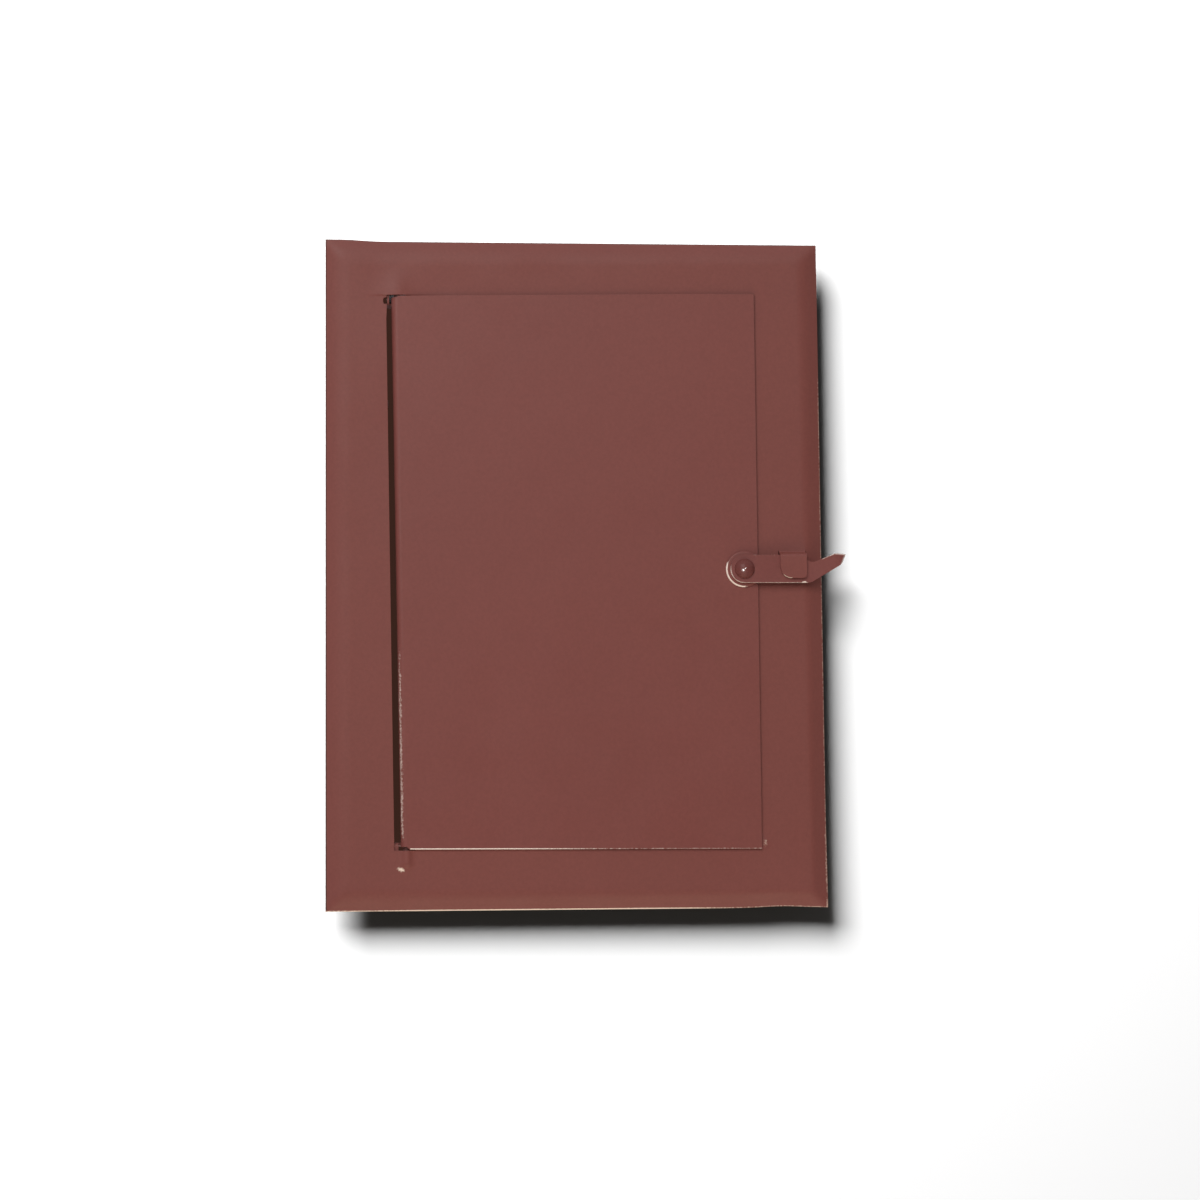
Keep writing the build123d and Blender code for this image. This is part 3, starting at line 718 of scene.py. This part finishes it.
bmesh.ops.spin(leaf, geom=left_edge, cent=(0, 0, 0), axis=(0, 0, 1), dvec=(0, 0, 0), angle=-roll_wrap, steps=32)
for v in leaf.verts:
    # a painted highlight runs along the roll's lower part
    from_highlight = (atan2(-v.co.x, -v.co.y) - roll_highlight_at) / roll_highlight_spread
    if v.co.x < -0.1 * mm and v.co.y < 0 and not v.is_boundary:
        v[wear_and_painted_light] = 0.42 * exp(-from_highlight ** 2) * eased((-5 * mm - v.co.z) / (45 * mm))
ends = [v for v in leaf.verts if len(v.link_edges) == 2 and v.co.x > 100 * mm]
bmesh.ops.bevel(leaf, geom=ends, affect="VERTICES", offset=leaf_corner_round, segments=4, profile=0.5, material=-1)
leaf.normal_update()
for f in leaf.faces:
    f.smooth = True
bmesh.ops.transform(leaf, verts=leaf.verts, matrix=hinge_place)
leaf = new_object(leaf, "rolled_door_leaf", [leaf_paint])
thicken(leaf, sheet, 0.24 * mm, 3)
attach(leaf, "door")
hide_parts("door_leaf")


# The spacer between lever and leaf: a thick washer with a rounded rim, turned from steel and painted. Its rim
# carries a painted highlight at the lower left.
latch_x = 69.6 * mm
latch_z = 0.5 * mm
spacer_radius = 7.3 * mm
spacer_bore = 2.1 * mm
spacer_back = -5.05 * mm
spacer_front = -5.85 * mm
spacer_rim = 0.62 * mm

spacer = bmesh.new()
profile = [(spacer_bore, spacer_front), (5.2 * mm, spacer_front)]
for step in range(7):
    turn = radians(90) * step / 6
    reach = spacer_radius - spacer_rim + spacer_rim * sin(turn)
    profile.append((reach, spacer_front + spacer_rim * (1 - cos(turn))))
profile += [(spacer_radius, spacer_back + 0.05 * mm), (spacer_radius - 0.05 * mm, spacer_back)]
profile.append((spacer_bore, spacer_back))
loop = [spacer.verts.new((latch_x + reach, depth, latch_z)) for reach, depth in profile]
strip = [spacer.edges.new((loop[i], loop[(i + 1) % len(loop)])) for i in range(len(loop))]
bmesh.ops.spin(spacer, geom=loop + strip, cent=(latch_x, 0, latch_z), axis=(0, 1, 0), dvec=(0, 0, 0), angle=2 * pi,
               steps=96, use_merge=True)
bmesh.ops.recalc_face_normals(spacer, faces=spacer.faces)
wear_and_painted_light = spacer.verts.layers.float.new("wear_and_painted_light")
for v in spacer.verts:
    x, z = v.co.x - latch_x, v.co.z - latch_z
    # the painted highlight on the rim, strongest at the lower left
    towards = (-0.80 * x - 0.60 * z) / max(sqrt(x * x + z * z), 1e-6)
    if sqrt(x * x + z * z) > spacer_radius - 0.85 * spacer_rim and v.co.y < spacer_back - 0.1 * mm:
        v[wear_and_painted_light] = eased((towards - 0.25) / 0.55)
for f in spacer.faces:
    f.smooth = True
spacer = new_object(spacer, "latch_spacer_ring", [leaf_paint])
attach(spacer, "door")
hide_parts("latch_spacer")


# The latch's lever: a sheared strip with a round end. Its narrower tail rises to the right and is bent out twice
# for the finger. It is painted, with painted highlights along its edges: the round end's lower left, the lower and
# upper edges, a bright dash at the kink, and both edges of the tail.
lever_half_width = 5.6 * mm
lever_front = -7.1 * mm
lever_thickness = 1.2 * mm
lever_kink_x = 96.4 * mm
shoulder_x = 92.3 * mm
tail_rise = radians(27)
tail_bend_at = 4.0 * mm
tip_bend_at = 13.6 * mm
tip_point_at = 16.3 * mm
tip_point_up = 3.6 * mm
tail_root_width = 6.9 * mm
tail_taper = 1.0 * mm
tail_low_taper = 0.8 * mm
tail_slope = tan(radians(10))
tip_slope = tan(radians(48))
kink_round = 1.34 * mm
notch_round = 1.6 * mm
lever_bore = 2.08 * mm
lever_top = latch_z + lever_half_width
lever_bottom = latch_z - lever_half_width


def on_tail(along, up):
    """A point of the front view, from the kink at the lower edge along the tail and across it."""
    x = lever_kink_x + along * cos(tail_rise) - up * sin(tail_rise)
    return Vector((x, 0, lever_bottom + along * sin(tail_rise) + up * cos(tail_rise)))


def low_edge(along):
    return on_tail(along, tail_low_taper * along / tip_bend_at)


def high_edge(along):
    return on_tail(along, tail_root_width - tail_taper * (along - tail_bend_at) / (tip_bend_at - tail_bend_at))


def eased_corner(first, corner, last, share):
    """A point on the rounded turn from one line into the next."""
    return first * (1 - share) ** 2 + corner * 2 * share * (1 - share) + last * share ** 2


kink = Vector((lever_kink_x, 0, lever_bottom))
shoulder = Vector((shoulder_x, 0, lever_top))
notch = high_edge(tail_bend_at)
kink_start = kink - Vector((kink_round, 0, 0))
notch_start = notch + (shoulder - notch).normalized() * notch_round
stations = [(Vector((x, 0, lever_bottom)), Vector((x, 0, lever_top))) for x in spaced(latch_x, 90 * mm, 2.3 * mm)]
stations.append((Vector((92.4 * mm, 0, lever_bottom)), shoulder))
stations.append((Vector((93.9 * mm, 0, lever_bottom)), (shoulder + notch_start) / 2))
for share in (0, 0.25, 0.5, 0.75, 1):
    low = eased_corner(kink_start, kink, low_edge(kink_round), share)
    stations.append((low, eased_corner(notch_start, notch, high_edge(tail_bend_at + notch_round), share)))
for low_at, high_at in ((3.2, 6.5), (5.1, 7.6), (7.0, 8.8), (9.0, 10.0), (11.0, 11.3), (12.6, 12.7), (13.1, 13.1)):
    stations.append((low_edge(low_at * mm), high_edge(high_at * mm)))
point = on_tail(tip_point_at, tip_point_up)
low_tip, high_tip = low_edge(tip_bend_at), high_edge(tip_bend_at)
for share in (0, 0.12, 0.3, 0.6, 0.85, 0.97):
    stations.append((low_tip.lerp(point, share), high_tip.lerp(point, share)))

round_columns = 10
across_lines = [0, 0.035, 0.075, 0.13, 0.2, 0.28, 0.36, 0.43, 0.5, 0.57, 0.64, 0.72, 0.8, 0.87, 0.925, 0.965, 1]
tail_bends = (tail_bend_at, tail_slope, 1.4 * mm), (tip_bend_at, tip_slope - tail_slope, 0.5 * mm)
lever = ruled_sheet([float(i) for i in range(round_columns + len(stations))], across_lines)
wear_and_painted_light = lever.verts.layers.float.new("wear_and_painted_light")
for v in lever.verts:
    column, up = round(v.co.x), v.co.z
    on_rim = up < 0.05
    if column < round_columns:
        u, t = column / round_columns - 1, 2 * up - 1
        x, z = u * sqrt(1 - t * t / 2), t * sqrt(1 - u * u / 2)
        v.co = Vector((latch_x + lever_half_width * x, 0, latch_z + lever_half_width * z))
        from_middle = sqrt(x * x + z * z)
        # painted highlights on the round end's rim, towards its lower left
        if column == 0 or up < 0.02 or up > 0.98:
            v[wear_and_painted_light] = 0.8 * eased((-0.75 * x - 0.66 * z) / from_middle - 0.1)
    else:
        low, high = stations[column - round_columns]
        v.co = low.lerp(high, up)
        # painted highlights along the lower and upper edges, a dash at the kink and the tail's edges
        if up < 0.02 and v.co.x < 95.3 * mm:
            v[wear_and_painted_light] = 0.52
        elif up > 0.98 and v.co.x < 84 * mm:
            v[wear_and_painted_light] = 0.3
        if on_rim and 93.2 * mm < v.co.x < 94.9 * mm:
            v[wear_and_painted_light] = 0.9
        elif up > 0.95 and column > round_columns + len(stations) - 12:
            v[wear_and_painted_light] = 0.5
        elif up < 0.02 and column > round_columns + len(stations) - 11:
            v[wear_and_painted_light] = 0.42
    along = (v.co.x - lever_kink_x) * cos(tail_rise) + (v.co.z - lever_bottom) * sin(tail_rise)
    for bend_at, slope, softness in tail_bends:
        past = along - bend_at
        if past > -4 * softness:
            v.co.y -= slope * (past + sqrt(past * past + softness * softness)) / 2
cut_out(lever, lambda p: (p.x - latch_x) ** 2 + (p.z - latch_z) ** 2 < (1.9 * mm) ** 2)
for v in lever.verts:
    off = Vector((v.co.x - latch_x, 0, v.co.z - latch_z))
    if v.is_boundary and off.length < 3.6 * mm:
        v.co += off.normalized() * lever_bore - off
bmesh.ops.translate(lever, verts=lever.verts, vec=(0, lever_front, 0))
lever.normal_update()
for f in lever.faces:
    f.smooth = True
lever = new_object(lever, "swing_lever", [latch_paint])
thicken(lever, lever_thickness, 0.24 * mm, 3)
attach(lever, "latch")
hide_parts("latch_lever")


# The small parts keep the shape they have in CAD, with their edges taken off: the rivet that the lever turns on,
# the wire pin, painted over with the rest, the folded collar behind and the split anchors riveted to it.
def finished_copy(node, name, material, edge_round, segments=2):
    """A CAD part's own shape, joined up from its loose triangles, with its edges rounded."""
    copy = bmesh.new()
    copy.from_mesh(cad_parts[node].data)
    bmesh.ops.remove_doubles(copy, verts=copy.verts, dist=1e-6)
    bmesh.ops.dissolve_limit(copy, angle_limit=radians(1), verts=copy.verts, edges=copy.edges)
    for f in copy.faces:
        f.smooth = True
    for e in copy.edges:
        e.smooth = e.calc_face_angle(0) < radians(35)
    made = new_object(copy, name, [material])
    rounding = made.modifiers.new("edges", "BEVEL")
    rounding.width = edge_round
    rounding.segments = segments
    rounding.limit_method = "ANGLE"
    rounding.angle_limit = radians(35)
    rounding.harden_normals = True
    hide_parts(node)
    return made


# the pin's primer is a darker copy of the rest, painted shade for the slot it lies in
pin_shaded_primer = red_primer("pin_red_primer_shaded", (0.105, 0.036, 0.029), 0.5)
# the rivet's primer is a darker copy of the latch's, painted shade on the dome
rivet_shaded_primer = red_primer("rivet_red_primer_shaded", (0.160, 0.048, 0.042), 0.22, 0.12)
for node, name, body, slot, material, edge_round in (
    ("latch_rivet", "dome_rivet", "door", "latch_paint", rivet_shaded_primer, 0.1 * mm),
    ("hinge_pin", "hinge_wire", "frame", "pin_wire", pin_shaded_primer, 0.1 * mm),
    ("wall_collar", "folded_wall_collar", "frame", "frame_paint", frame_paint, 0.1 * mm),
):
    piece = finished_copy(node, name, material, edge_round)
    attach(piece, body)
    if node == "latch_rivet":
        lit_by_glint_lamp.objects.link(piece)
fixings = ("wall_anchor", "mortar_anchor", 0.15 * mm), ("anchor_rivet", "anchor_rivet", 0.1 * mm)
for number in range(1, 5):
    for node, name, edge_round in fixings:
        piece = finished_copy(f"{node}_{number}", f"{name}_{number}_made", frame_paint, edge_round)
        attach(piece, "frame")
